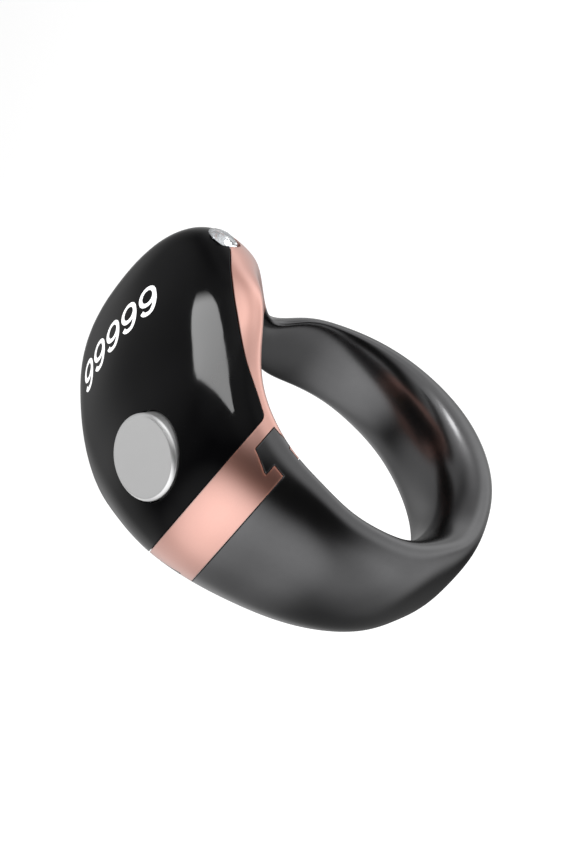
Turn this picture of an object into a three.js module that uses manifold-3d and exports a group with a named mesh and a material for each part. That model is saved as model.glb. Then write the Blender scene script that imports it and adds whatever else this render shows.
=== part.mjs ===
import * as THREE from 'three';
import { mergeVertices } from 'three/addons/utils/BufferGeometryUtils.js';
import Module from 'manifold-3d';

// A tally counter worn as a ring. Millimetres. Y is the finger's axis, +Z the top of the head.
// Angles round the finger start at +Z and grow towards +X, the stone's side.

// Ring
const boreRadius = 10;
const ringSteps = 78;
const outerSteps = 16;
const innerSteps = 9;
const radian = Math.PI / 180;
const circleSides = 32;
const smallSides = 20;
const sectorStepAngle = 2;

// Read every fifteen degrees round the finger: the crest's height and half the width,
// in shares of the bore's radius
const crestShares = [
  1.68, 1.8, 1.905, 1.62, 1.262, 1.213, 1.222, 1.244, 1.271, 1.334, 1.397, 1.42,
  1.415, 1.407, 1.42, 1.413, 1.45, 1.464, 1.473, 1.49, 1.59, 1.655, 1.635, 1.61,
];
const halfWidthShares = [
  1.09, 1.03, 0.898, 0.54, 0.242, 0.305, 0.345, 0.359, 0.383, 0.402, 0.422, 0.437,
  0.442, 0.429, 0.425, 0.45, 0.48, 0.532, 0.586, 0.653, 0.71, 0.79, 0.897, 1.036,
];
// Where the section is widest, as a share of its height, every thirty degrees
const waistShares = [0.219, 0.396, 0.177, 0.262, 0.611, 0.574, 0.638, 0.673, 0.526, 0.399, 0.286, 0.26];
// How square the section's outer and inner halves are, as powers of a superellipse
const outerPowers = [1.902, 2.356, 1.75, 1.95, 2.963, 2.914, 2.458, 2.576, 2.228, 2.017, 1.954, 1.867];
const innerPowers = [2.8, 2.5, 1.9, 1.86];
const coreInnerPower = 9;
const coreDrop = 1;
const coreBoreRadius = boreRadius - coreDrop;

// Joint planes across the shoulders, square to the ring's own plane
const shoulderLeanAngle = 24.8;
const lowerBandShare = 0.044;
const lowerCoverShare = 0.413;
const upperBandShare = 0.27;
const upperCoverShare = 0.67;
const lowerBandHeight = lowerBandShare * boreRadius;
const lowerCoverHeight = lowerCoverShare * boreRadius;
const upperBandHeight = upperBandShare * boreRadius;
const upperCoverHeight = upperCoverShare * boreRadius;
const seamGap = 0.04;
const passing = 30;
const overrun = 3;
const planeStart = 1;
const weldDistance = 1e-5;
const sectionCentre = 2;

// The cover's seam along both sides of the head, in shares of the bore's radius
const sideSeamShares = [
  [-0.823, 0.902], [-0.758, 0.948], [-0.691, 1.001], [-0.548, 1.11], [-0.389, 1.194],
  [-0.203, 1.263], [-0.034, 1.308], [0.176, 1.339], [0.374, 1.343], [0.52, 1.34],
  [0.68, 1.31], [0.8, 1.262],
];
const seamSteps = 24;
const cornerSteps = 5;
const cornerCut = 0.45;
const lowerCornerShare = 1.158;
const upperCornerShare = 1.335;

// Hooked tongues of the band
const tongueFloor = 1.65;
const tongueInner = boreRadius + tongueFloor;
const tongueWidth = 1.65;
const tongueOuter = tongueInner + tongueWidth;
const tongueRoot = -1;
const tongueTop = 2.75;
const crownStep = 0.17;
const innerCrownStep = 0.1;
const crownInner = tongueInner - innerCrownStep;
const neckInner = tongueInner - 1.5 * innerCrownStep;
const neckHeight = 2.16;
const crownOuter = tongueOuter + crownStep;
const tongueShoulder = 1.06;
const barbReach = 0.63;
const barbTip = tongueOuter + barbReach;
const barbTipHeight = 1.23;
const innerBarbReach = 0.5;
const innerBarb = tongueInner - innerBarbReach;
const innerBarbRamp = 0.15;
const innerBarbLow = 1.16;
const innerBarbHigh = 1.51;
const upperTongueShift = -0.3;

// Walls
const coverWall = 1.1;
const frameWall = 1.45;
const lidThickness = 0.95;
const lidRadius = boreRadius + lidThickness;
const lidLedge = 0.55;
const floorRadius = lidRadius + lidLedge;
const carrierHalfWidth = 6.2;
const widthStep = 0.3;
const lidHalfWidth = carrierHalfWidth - widthStep;
const lidStartAngle = -38;
const lidEndAngle = 32;
const lidGap = 0.03;
const cellWindowHalfWidth = 5.3;
const cellWindowStartAngle = -24;
const cellWindowEndAngle = 28;
const windowPast = 1;
const cavityLowShare = 0.395;
const cavityHighShare = 0.61;

// Push button
const buttonAngle = -33.2;
const buttonLeanAngle = 37.7;
const buttonProud = 0.36;
const buttonRadius = 3.18;
const buttonChamfer = 0.22;
const buttonGap = 0.12;
const buttonTravel = 0.3;
const bossRadius = 4.25;
const bossDepth = 2.15;
const flangeRadius = 3.65;
const flangeThickness = 0.35;
const sealRadius = 0.22;
const sealDepth = 1.55;
const switchTop = 2.95;
const switchBase = 3.65;
const switchHalf = 1.6;
const plungerRadius = 0.7;
const plungerFoot = 3.2;
const plungerGap = 0.04;
const switchBoardBase = 4.05;
const switchBoardHalf = 2.15;
const switchBoardHalfWidth = 3.4;
const blockWall = 0.7;
const blockCut = 2;
const blockDepth = 5;

// Charging pins
const pinRadius = 0.6;
const pinSpacing = 3.6;
const pinGap = 0.03;
const pinLong = 2.72;

// Electronics
const carrierHeight = 1.05;
const boardBase = floorRadius + carrierHeight;
const boardThickness = 0.5;
const boardStart = -4.5;
const boardEnd = 7.4;
const boardHalfWidth = carrierHalfWidth - widthStep;
const boardCorner = 1.2;
const panelStart = -0.4;
const panelEnd = 6.3;
const panelNear = -4.9;
const panelFar = 6.5;
const lowerGlass = 0.4;
const upperGlass = 0.4;
const panelLedge = 1.1;
const ribbon = 0.12;
const ribbonHalfWidth = 2.2;
const carrierStart = -4.9;
const carrierEnd = 4.1;
const carrierWall = 1;
const carrierPost = 1.9;
const carrierClear = 0.3;
const carrierClearDepth = 1.5;
const chipX = -2.9;
const controllerHalf = 1.2;
const controllerHeight = 0.55;
const controllerY = 2.3;
const chargerHalf = 0.8;
const chargerHeight = 0.45;
const chargerY = -1;
const crystalHalf = 0.8;
const crystalHalfWidth = 0.5;
const crystalHeight = 0.4;
const crystalY = -2.9;
const leadY = 1;
const leadInsetAngle = 5;
const padThickness = 0.17;
const cellThickness = 1.26;
const cellInner = lidRadius + padThickness;
const cellOuter = cellInner + cellThickness;
const cellStartAngle = -22;
const cellEndAngle = 26;
const cellHalfWidth = 4.8;
const padInset = 0.6;
const screwHeadRadius = 0.75;
const screwHead = 0.32;
const screwShankRadius = 0.42;
const screwLong = 1.1;
const screwX = -3.65;
const screwInset = 1.05;
const screwY = carrierHalfWidth - screwInset;
const screwGap = 0.03;
const gasket = 0.14;
const gasketOuter = 0.3;
const gasketInner = 0.85;

// Stone
const stoneAngle = 23.4;
const stoneTurnAngle = 166;
const stoneLeanAngle = 16;
const stoneRadius = 1.26;
const crownHeight = 0.36;
const girdleHeight = 0.08;
const pavilionDepth = 0.98;
const tableShare = 0.56;
const stoneProud = 0.22;
const stoneSides = 16;
const seatGap = 0.04;

const capFoot = bossDepth + flangeThickness;
const buttonTopRadius = tableAt(crestShares, buttonAngle * radian) * boreRadius + buttonProud;
const boardTop = boardBase + boardThickness;

const wasm = await Module();
wasm.setup();
const group = new THREE.Group();

function solidOf(source) {
  const bare = source.index ? source.toNonIndexed() : source.clone();
  bare.deleteAttribute('normal');
  bare.deleteAttribute('uv');
  const merged = mergeVertices(bare, weldDistance);
  return new wasm.Manifold(new wasm.Mesh({
    numProp: 3,
    vertProperties: new Float32Array(merged.attributes.position.array),
    triVerts: new Uint32Array(merged.index.array),
  }));
}

function geometryOf(solid) {
  const mesh = solid.getMesh();
  const geometry = new THREE.BufferGeometry();
  geometry.setAttribute('position', new THREE.BufferAttribute(new Float32Array(mesh.vertProperties), 3));
  geometry.setIndex(new THREE.BufferAttribute(new Uint32Array(mesh.triVerts), 1));
  return geometry;
}

// The largest body of a cut, without the slivers that coplanar faces leave
function mainBody(solid) {
  const bodies = solid.decompose();
  bodies.sort((one, other) => other.volume() - one.volume());
  return bodies[0];
}

function addPiece(solid, name, finish) {
  const welded = mainBody(solidOf(geometryOf(mainBody(solid))));
  const geometry = geometryOf(welded);
  geometry.computeVertexNormals();
  const piece = new THREE.Mesh(geometry, new THREE.MeshStandardMaterial(finish));
  piece.name = name;
  group.add(piece);
}

// Smooth value of a table spaced evenly round the finger
function tableAt(table, angle) {
  const count = table.length;
  const place = (((angle / (2 * Math.PI)) * count) % count + count) % count;
  const index = Math.floor(place);
  const part = place - index;
  const [before, from, to, after] = [-1, 0, 1, 2].map((step) => table[(index + step + count) % count]);
  const slope = (to - before) / 2;
  const nextSlope = (after - from) / 2;
  const rise = to - from;
  const square = part * part;
  return from + slope * part + (3 * rise - 2 * slope - nextSlope) * square
    + (slope + nextSlope - 2 * rise) * square * part;
}

function bent(value, power) {
  return Math.sign(value) * Math.abs(value) ** (2 / power);
}

// One point of the ring's section at an angle round the finger
function ringPoint(angle, turn, inset, core) {
  const crest = tableAt(crestShares, angle) * boreRadius;
  const halfWidth = tableAt(halfWidthShares, angle) * boreRadius - inset;
  const waist = boreRadius + tableAt(waistShares, angle) * (crest - boreRadius);
  const outer = Math.sin(turn) >= 0;
  const innerPower = core ? coreInnerPower : tableAt(innerPowers, angle);
  const power = outer ? tableAt(outerPowers, angle) : innerPower;
  const innerRadius = core ? coreBoreRadius : boreRadius;
  const reach = outer ? crest - inset - waist : waist - innerRadius;
  const radius = waist + reach * bent(Math.sin(turn), power);
  return new THREE.Vector3(radius * Math.sin(angle), halfWidth * bent(Math.cos(turn), power),
    radius * Math.cos(angle));
}

// The whole ring as one solid, drawn in by an inset; a core also runs past the bore
function ringSolid(inset, core) {
  const turns = [];
  for (let step = 0; step < outerSteps; step += 1) turns.push((Math.PI * step) / outerSteps);
  for (let step = 0; step < innerSteps; step += 1) turns.push(Math.PI * (1 + step / innerSteps));
  turns.reverse();
  const section = [...turns, turns[0]]
    .map((turn) => new THREE.Vector2(sectionCentre + Math.sin(turn), Math.cos(turn)));
  const lathe = new THREE.LatheGeometry(section, ringSteps);
  const places = lathe.attributes.position;
  for (let index = 0; index < places.count; index += 1) {
    const angle = (2 * Math.PI * (Math.floor(index / section.length) % ringSteps)) / ringSteps;
    const turn = turns[(index % section.length) % turns.length];
    const point = ringPoint(angle, turn, inset, core);
    places.setXYZ(index, point.x, point.y, point.z);
  }
  return solidOf(lathe);
}

// An outline in the ring's plane, given as x and z, run along the finger
function prism(outline, width, centre = 0) {
  const shape = new THREE.Shape(outline.map(([x, z]) => new THREE.Vector2(x, z)));
  const block = new THREE.ExtrudeGeometry(shape, { depth: width, bevelEnabled: false });
  block.rotateX(Math.PI / 2).translate(0, centre + width / 2, 0);
  return solidOf(block);
}

// A block between two corners
function box(startX, endX, startY, endY, startZ, endZ) {
  const block = new THREE.BoxGeometry(endX - startX, endY - startY, endZ - startZ);
  return solidOf(block.translate((startX + endX) / 2, (startY + endY) / 2, (startZ + endZ) / 2));
}

// A closed sector of a tube round the finger
function sector(inner, outer, start, end, halfWidth) {
  const outline = [];
  const steps = Math.round((end - start) / sectorStepAngle);
  for (let step = 0; step <= steps; step += 1) {
    const angle = (start + ((end - start) * step) / steps) * radian;
    outline.push([outer * Math.sin(angle), outer * Math.cos(angle)]);
  }
  for (let step = steps; step >= 0; step -= 1) {
    const angle = (start + ((end - start) * step) / steps) * radian;
    outline.push([inner * Math.sin(angle), inner * Math.cos(angle)]);
  }
  return prism(outline, 2 * halfWidth);
}

function barrel(radius) {
  return solidOf(new THREE.CylinderGeometry(radius, radius, passing, ringSteps));
}

// A point on a shoulder from its height above the ring's middle and its distance outwards
function shoulderPoint(side, outwards, height) {
  const sine = Math.sin(shoulderLeanAngle * radian);
  const cosine = Math.cos(shoulderLeanAngle * radian);
  return [side * (outwards * cosine - height * sine), outwards * sine + height * cosine];
}

function shoulderHalf(side, height) {
  return prism([
    shoulderPoint(side, 0, height), shoulderPoint(side, passing, height),
    shoulderPoint(side, passing, -passing), shoulderPoint(side, 0, -passing),
  ], passing);
}

// Everything under the two joint planes
function bandRegion(gap) {
  return prism([
    shoulderPoint(-1, passing, lowerBandHeight - gap), shoulderPoint(-1, planeStart, lowerBandHeight - gap),
    shoulderPoint(1, planeStart, upperBandHeight - gap), shoulderPoint(1, passing, upperBandHeight - gap),
    [passing, -passing], [-passing, -passing],
  ], passing);
}

// A band's tongue with its hook, in the shoulder's own frame
function tongue(side, base, shift, gap) {
  const outline = [
    [tongueInner - gap, tongueRoot], [tongueInner - gap, innerBarbLow - gap - innerBarbRamp],
    [innerBarb - gap, innerBarbLow], [innerBarb - gap, innerBarbHigh + gap],
    [neckInner - gap, neckHeight + gap],
    [crownInner - gap, tongueTop + gap], [crownOuter + gap / 2, tongueTop + gap],
    [barbTip + gap, barbTipHeight], [barbTip + gap, tongueShoulder - gap],
    [tongueOuter + gap, tongueShoulder - gap], [tongueOuter + gap, tongueRoot],
  ];
  return prism(outline.map(([out, height]) => shoulderPoint(side, out + shift, height + base)), passing);
}

// A softened corner, as points from one leg to the other
function softCorner(before, corner, after) {
  const reach = (to) => to.clone().sub(corner).setLength(cornerCut).add(corner);
  return new THREE.QuadraticBezierCurve(reach(before), corner, reach(after)).getPoints(cornerSteps);
}

// The outline above the cover's seam
function coverRegion(lift) {
  const seamPoints = sideSeamShares.map(([x, z]) => new THREE.Vector2(x * boreRadius, z * boreRadius));
  const seam = new THREE.SplineCurve(seamPoints).getPoints(seamSteps);
  const lowerEnd = new THREE.Vector2(...shoulderPoint(-1, passing, lowerCoverHeight));
  const upperEnd = new THREE.Vector2(...shoulderPoint(1, passing, upperCoverHeight));
  const lower = new THREE.Vector2(...shoulderPoint(-1, lowerCornerShare * boreRadius, lowerCoverHeight));
  const upper = new THREE.Vector2(...shoulderPoint(1, upperCornerShare * boreRadius, upperCoverHeight));
  const outline = [
    lowerEnd, ...softCorner(lowerEnd, lower, seam[0]), ...seam,
    ...softCorner(seam[seamSteps], upper, upperEnd), upperEnd,
    new THREE.Vector2(passing, passing), new THREE.Vector2(-passing, passing),
  ].map((point) => [point.x, point.y]);
  return prism(outline, passing).translate([0, 0, lift]);
}

// The button's own frame: its top's centre, with its axis as local Z
function placeButton(geometry) {
  const angle = buttonAngle * radian;
  geometry.rotateY(-buttonLeanAngle * radian);
  return geometry.translate(buttonTopRadius * Math.sin(angle), 0, buttonTopRadius * Math.cos(angle));
}

function buttonDisc(radius, top, base, sides = circleSides, sideways = 0) {
  const disc = new THREE.CylinderGeometry(radius, radius, base - top, sides);
  disc.rotateX(Math.PI / 2).translate(0, sideways, -(top + base) / 2);
  return solidOf(placeButton(disc));
}

function buttonBox(half, halfWidth, top, base, sideways = 0) {
  const block = new THREE.BoxGeometry(2 * half, 2 * halfWidth, base - top);
  return solidOf(placeButton(block.translate(sideways, 0, -(top + base) / 2)));
}

function buttonLathe(outline) {
  const points = outline.map(([radius, depth]) => new THREE.Vector2(radius, -depth));
  const turned = new THREE.LatheGeometry(points, circleSides).rotateX(Math.PI / 2);
  return solidOf(placeButton(turned));
}

// The stone's frame: its place on the near side's seam, leant off the surface towards the finger
function stoneFrame() {
  const angle = stoneAngle * radian;
  const turn = stoneTurnAngle * radian;
  const place = ringPoint(angle, turn, 0, false);
  const along = ringPoint(angle + radian / 2, turn, 0, false).sub(place);
  const across = ringPoint(angle, turn - radian / 2, 0, false).sub(place);
  const normal = along.cross(across).normalize();
  if (normal.y > 0) normal.negate();
  normal.applyAxisAngle(new THREE.Vector3(1, 0, 0), stoneLeanAngle * radian);
  const spin = new THREE.Quaternion().setFromUnitVectors(new THREE.Vector3(0, 1, 0), normal);
  return new THREE.Matrix4().compose(place, spin, new THREE.Vector3(1, 1, 1));
}

function stoneLathe(outline) {
  const points = outline.map(([radius, height]) => new THREE.Vector2(radius, height));
  const turned = new THREE.LatheGeometry(points, stoneSides);
  return solidOf(turned.applyMatrix4(stoneFrame()));
}

function buildStone() {
  const girdle = stoneProud - crownHeight;
  const foot = girdle - girdleHeight;
  return stoneLathe([
    [0, foot - pavilionDepth], [stoneRadius, foot], [stoneRadius, girdle],
    [stoneRadius * tableShare, stoneProud], [0, stoneProud],
  ]);
}

// The pocket that the stone sits in, open to the outside
function buildPocket() {
  const foot = stoneProud - crownHeight - girdleHeight;
  const radius = stoneRadius + seatGap;
  return stoneLathe([[0, foot - pavilionDepth - seatGap], [radius, foot], [radius, overrun], [0, overrun]]);
}

const whole = ringSolid(0, false);
const bandBody = buildBand();
const stonePocket = buildPocket();

function buildBand() {
  const tongues = tongue(-1, lowerBandHeight, 0, 0).add(tongue(1, upperBandHeight, upperTongueShift, 0));
  return whole.intersect(bandRegion(seamGap / 2).add(tongues));
}

function buttonWell() {
  return buttonDisc(buttonRadius + buttonGap, -overrun, bossDepth + buttonTravel)
    .add(buttonDisc(flangeRadius + buttonGap, bossDepth, capFoot + 2 * buttonTravel));
}

function buildCover() {
  const shell = whole.intersect(coverRegion(0)).subtract(ringSolid(coverWall, true));
  const boss = buttonDisc(bossRadius, 0, bossDepth).intersect(whole).intersect(coverRegion(0));
  return shell.add(boss).subtract(buttonWell()).subtract(stonePocket).subtract(gasketStep());
}

// The step inside the cover's edge that the gasket fills
function gasketStep() {
  return ringSolid(gasketOuter, true).subtract(coverRegion(gasket));
}

function buildGasket() {
  const ring = ringSolid(gasketOuter + seamGap / 2, true).subtract(ringSolid(gasketInner, true));
  return ring.intersect(coverRegion(0)).subtract(coverRegion(gasket)).subtract(stonePocket);
}

function buildFrame() {
  const slots = tongue(-1, lowerBandHeight, 0, seamGap)
    .add(tongue(1, upperBandHeight, upperTongueShift, seamGap));
  const under = bandRegion(-seamGap / 2);
  const cavity = ringSolid(frameWall, true).subtract(barrel(floorRadius))
    .subtract(shoulderHalf(-1, cavityLowShare * boreRadius)).subtract(shoulderHalf(1, cavityHighShare * boreRadius));
  const block = buttonBox(switchBoardHalf + blockWall, switchBoardHalfWidth + blockWall,
    switchBoardBase - blockWall, switchBoardBase + blockDepth)
    .subtract(buttonBox(blockCut, passing, 0, passing, switchBoardHalf + blockCut / 2))
    .subtract(barrel(floorRadius - seatGap)).intersect(ringSolid(frameWall, true));
  const recess = sector(boreRadius - overrun, lidRadius, lidStartAngle, lidEndAngle, lidHalfWidth);
  const window = sector(boreRadius - overrun, floorRadius + windowPast, cellWindowStartAngle,
    cellWindowEndAngle, cellWindowHalfWidth);
  return whole.subtract(under).subtract(slots).subtract(coverRegion(0)).subtract(cavity)
    .add(block).subtract(recess).subtract(window)
    .subtract(buttonBox(switchBoardHalf + seamGap, switchBoardHalfWidth + seamGap, 0, switchBoardBase))
    .subtract(pins(pinGap, overrun)).subtract(stonePocket);
}

function pin(side, gap, past) {
  return buttonDisc(pinRadius + gap, switchBoardBase, switchBoardBase + pinLong + past, smallSides,
    (side * pinSpacing) / 2);
}

function pins(gap, past) {
  return [-1, 1].map((side) => pin(side, gap, past)).reduce((joined, item) => joined.add(item));
}

function boardOutline() {
  const low = -boardHalfWidth;
  return [
    [boardStart, low], [boardEnd - boardCorner, low], [boardEnd, low + boardCorner],
    [boardEnd, -low - boardCorner], [boardEnd - boardCorner, -low], [boardStart, -low],
  ];
}

// An outline in plan, given as x and y, with its height along Z
function slab(outline, startZ, endZ) {
  const shape = new THREE.Shape(outline.map(([x, y]) => new THREE.Vector2(x, y)));
  const block = new THREE.ExtrudeGeometry(shape, { depth: endZ - startZ, bevelEnabled: false });
  return solidOf(block.translate(0, 0, startZ));
}

function peg(radius, x, y, startZ, endZ, sides = smallSides) {
  const turned = new THREE.CylinderGeometry(radius, radius, endZ - startZ, sides);
  return solidOf(turned.rotateX(Math.PI / 2).translate(x, y, (startZ + endZ) / 2));
}

function buildLid() {
  const plate = sector(boreRadius - overrun, lidRadius, lidStartAngle, lidEndAngle, lidHalfWidth - lidGap);
  return whole.intersect(plate).subtract(pins(pinGap, overrun));
}

function buildCarrier() {
  const top = boardBase;
  const outer = box(carrierStart, carrierEnd, -carrierHalfWidth, carrierHalfWidth, 0, top);
  const inner = box(carrierStart + carrierWall, carrierEnd - carrierWall, -carrierHalfWidth + carrierWall,
    carrierHalfWidth - carrierWall, -overrun, top + overrun);
  const posts = [-1, 1].map((side) => box(carrierStart, carrierStart + carrierPost,
    side > 0 ? carrierHalfWidth - carrierPost : -carrierHalfWidth,
    side > 0 ? carrierHalfWidth : carrierPost - carrierHalfWidth, 0, top));
  const ring = posts.reduce((joined, post) => joined.add(post), outer.subtract(inner));
  const clear = buttonBox(switchBoardHalf + carrierClear, passing, 0, switchBoardBase + carrierClearDepth);
  const cellRoom = sector(boreRadius, cellOuter + lidGap, cellStartAngle - sectorStepAngle,
    cellEndAngle + sectorStepAngle, cellHalfWidth + lidGap);
  return ring.subtract(barrel(floorRadius)).subtract(cellRoom).subtract(clear)
    .subtract(screws(screwGap, false));
}

function screws(gap, heads) {
  return [-1, 1].map((side) => screw(side, gap, heads)).reduce((joined, item) => joined.add(item));
}

function screw(side, gap, head) {
  const y = side * screwY;
  const shank = peg(screwShankRadius + gap, screwX, y, boardTop - screwLong - gap, boardTop + screwHead / 2);
  return head ? shank.add(peg(screwHeadRadius, screwX, y, boardTop, boardTop + screwHead)) : shank;
}

function buildBoard() {
  return slab(boardOutline(), boardBase, boardTop).subtract(screws(screwGap, false));
}

function buildPanel() {
  const lower = box(panelStart, panelEnd, panelNear, panelFar, boardTop, boardTop + lowerGlass);
  return lower.add(box(panelStart + panelLedge, panelEnd, panelNear, panelFar, boardTop + lowerGlass / 2,
    boardTop + lowerGlass + upperGlass));
}

// Ribbon from the panel's ledge down to the board
function buildPanelRibbon() {
  const ledge = boardTop + lowerGlass;
  const landing = panelStart - panelLedge;
  const bend = panelStart - 2 * ribbon;
  return prism([
    [landing, boardTop], [bend, boardTop], [bend, ledge], [panelStart + panelLedge - ribbon, ledge],
    [panelStart + panelLedge - ribbon, ledge + ribbon], [bend - ribbon, ledge + ribbon],
    [bend - ribbon, boardTop + ribbon], [landing, boardTop + ribbon],
  ], 2 * ribbonHalfWidth, (panelNear + panelFar) / 2);
}

// A point in the ring's plane from the button's own sideways distance and depth
function buttonPoint(sideways, depth) {
  const angle = buttonAngle * radian;
  const lean = buttonLeanAngle * radian;
  return [
    buttonTopRadius * Math.sin(angle) + sideways * Math.cos(lean) + depth * Math.sin(lean),
    buttonTopRadius * Math.cos(angle) + sideways * Math.sin(lean) - depth * Math.cos(lean),
  ];
}

// Ribbon from the switch's board up on to the main board
function buildSwitchRibbon() {
  return prism([
    buttonPoint(switchHalf + ribbon, switchBase), buttonPoint(switchBoardHalf, switchBase),
    [boardStart - ribbon / 2, boardTop - ribbon], [boardStart - ribbon / 2, boardTop],
    [boardStart + 4 * ribbon, boardTop], [boardStart + 4 * ribbon, boardTop + ribbon],
    [boardStart - 2 * ribbon, boardTop + ribbon],
    buttonPoint(switchHalf + ribbon, switchBase - ribbon),
  ], ribbonHalfWidth);
}

function chip(half, halfWidth, height, y) {
  return box(chipX - half, chipX + half, y - halfWidth, y + halfWidth, boardTop, boardTop + height);
}

// Lead from the cell's end up and over the edge of the main board
function lead(y) {
  const end = (cellEndAngle - leadInsetAngle) * radian;
  const foot = [cellOuter * Math.sin(end), cellOuter * Math.cos(end)];
  const wire = 2 * ribbon;
  return prism([
    [foot[0], foot[1] + wire / 4], [foot[0] + wire, foot[1] + wire / 4], [boardEnd + wire, boardBase],
    [boardEnd + wire, boardTop + wire], [boardEnd - 3 * wire, boardTop + wire],
    [boardEnd - 3 * wire, boardTop],
    [boardEnd + ribbon / 6, boardTop], [boardEnd + ribbon / 6, boardBase],
  ], wire, y);
}

function buildCap() {
  const sealFoot = sealDepth + 2 * sealRadius;
  const groove = buttonRadius - sealRadius;
  return buttonLathe([
    [0, capFoot], [flangeRadius, capFoot], [flangeRadius, bossDepth],
    [buttonRadius, bossDepth], [buttonRadius, sealFoot], [groove, sealFoot], [groove, sealDepth],
    [buttonRadius, sealDepth], [buttonRadius, buttonChamfer], [buttonRadius - buttonChamfer, 0], [0, 0],
  ]);
}

function buildSeal() {
  const foot = sealDepth + 2 * sealRadius;
  const inner = buttonRadius - sealRadius;
  const outer = buttonRadius + buttonGap - seamGap / 2;
  return buttonLathe([
    [inner, foot], [outer, foot - sealRadius / 2], [outer, sealDepth + sealRadius / 2], [inner, sealDepth],
    [inner, foot],
  ]);
}

function buildSwitch() {
  const body = buttonBox(switchHalf, switchHalf, switchTop, switchBase);
  return body.subtract(buttonDisc(plungerRadius + plungerGap, 0, switchBase - ribbon));
}

const rose = { color: '#e2ab9a', roughness: 0.28, metalness: 0.55 };
const smokedLens = { color: '#1b1b1d', roughness: 0.12, metalness: 0 };
const blackLacquer = { color: '#2c2c2e', roughness: 0.3, metalness: 0 };
const steel = { color: '#bdbdbd', roughness: 0.3, metalness: 0.8 };
const clearStone = { color: '#dfe3e6', roughness: 0.05, metalness: 0 };
const softSeal = { color: '#1a1a1a', roughness: 0.8, metalness: 0 };
const darkPlastic = { color: '#262626', roughness: 0.5, metalness: 0 };
const switchShell = { color: '#c9c5bb', roughness: 0.5, metalness: 0.3 };
const boardGreen = { color: '#1f4a33', roughness: 0.5, metalness: 0 };
const amberFilm = { color: '#c98f4c', roughness: 0.5, metalness: 0.1 };
const panelGlass = { color: '#0c0d10', roughness: 0.1, metalness: 0 };
const chipBlack = { color: '#151515', roughness: 0.5, metalness: 0 };
const tin = { color: '#b8babd', roughness: 0.35, metalness: 0.7 };
const foam = { color: '#e8e4d8', roughness: 0.9, metalness: 0 };
const redJacket = { color: '#b3262b', roughness: 0.5, metalness: 0 };
const gold = { color: '#d9b25f', roughness: 0.25, metalness: 0.95 };

const padStartAngle = cellStartAngle + sectorStepAngle;
const padEndAngle = cellEndAngle - sectorStepAngle;
const padHalfWidth = cellHalfWidth - padInset;

addPiece(buildFrame(), 'mid_frame', rose);
addPiece(buildCover(), 'display_cover', smokedLens);
addPiece(buildGasket(), 'cover_gasket', softSeal);
addPiece(bandBody, 'band', blackLacquer);
addPiece(buildLid(), 'finger_side_lid', blackLacquer);
addPiece(buildStone(), 'stone', clearStone);
addPiece(buildCap(), 'button_cap', steel);
addPiece(buildSeal(), 'button_seal', softSeal);
addPiece(buttonDisc(plungerRadius, capFoot, plungerFoot), 'switch_plunger', darkPlastic);
addPiece(buildSwitch(), 'switch_body', switchShell);
addPiece(buttonBox(switchBoardHalf, switchBoardHalfWidth, switchBase, switchBoardBase),
  'switch_board', boardGreen);
addPiece(buildSwitchRibbon(), 'switch_ribbon', amberFilm);
addPiece(buildCarrier(), 'board_carrier', darkPlastic);
addPiece(buildBoard(), 'main_board', boardGreen);
addPiece(buildPanel(), 'display_panel', panelGlass);
addPiece(buildPanelRibbon(), 'display_ribbon', amberFilm);
addPiece(chip(controllerHalf, controllerHalf, controllerHeight, controllerY), 'controller_chip', chipBlack);
addPiece(chip(chargerHalf, chargerHalf, chargerHeight, chargerY), 'charger_chip', chipBlack);
addPiece(chip(crystalHalf, crystalHalfWidth, crystalHeight, crystalY), 'timing_crystal', tin);
addPiece(sector(cellInner, cellOuter, cellStartAngle, cellEndAngle, cellHalfWidth), 'cell', tin);
addPiece(sector(lidRadius, cellInner, padStartAngle, padEndAngle, padHalfWidth), 'cell_pad', foam);
addPiece(lead(-leadY), 'cell_lead_plus', redJacket);
addPiece(lead(leadY), 'cell_lead_minus', chipBlack);
[-1, 1].forEach((side, index) => {
  addPiece(screw(side, 0, true), `board_screw_${index + 1}`, steel);
  addPiece(pin(side, 0, 0), `charging_pin_${index + 1}`, gold);
});

export default group;
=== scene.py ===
import bpy
import bmesh
import math
import numpy as np
from mathutils import Matrix, Vector


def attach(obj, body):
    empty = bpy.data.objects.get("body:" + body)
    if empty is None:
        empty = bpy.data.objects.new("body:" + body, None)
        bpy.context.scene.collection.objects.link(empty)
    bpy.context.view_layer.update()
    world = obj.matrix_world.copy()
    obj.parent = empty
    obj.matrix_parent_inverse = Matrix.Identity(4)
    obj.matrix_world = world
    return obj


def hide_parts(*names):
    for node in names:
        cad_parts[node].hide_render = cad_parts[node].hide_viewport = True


# A tally counter worn as a ring. Forms are given in millimetres and built in metres.
# Y is the finger's axis and +Z the top of the head; angles start at +Z and grow towards +X.

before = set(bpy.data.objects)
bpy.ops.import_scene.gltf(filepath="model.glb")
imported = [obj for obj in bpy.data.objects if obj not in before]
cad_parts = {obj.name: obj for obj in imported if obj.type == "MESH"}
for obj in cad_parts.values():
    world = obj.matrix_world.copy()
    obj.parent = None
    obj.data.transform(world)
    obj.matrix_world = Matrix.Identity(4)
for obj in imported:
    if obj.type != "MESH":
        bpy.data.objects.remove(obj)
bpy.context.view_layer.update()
mm = 0.001

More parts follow.
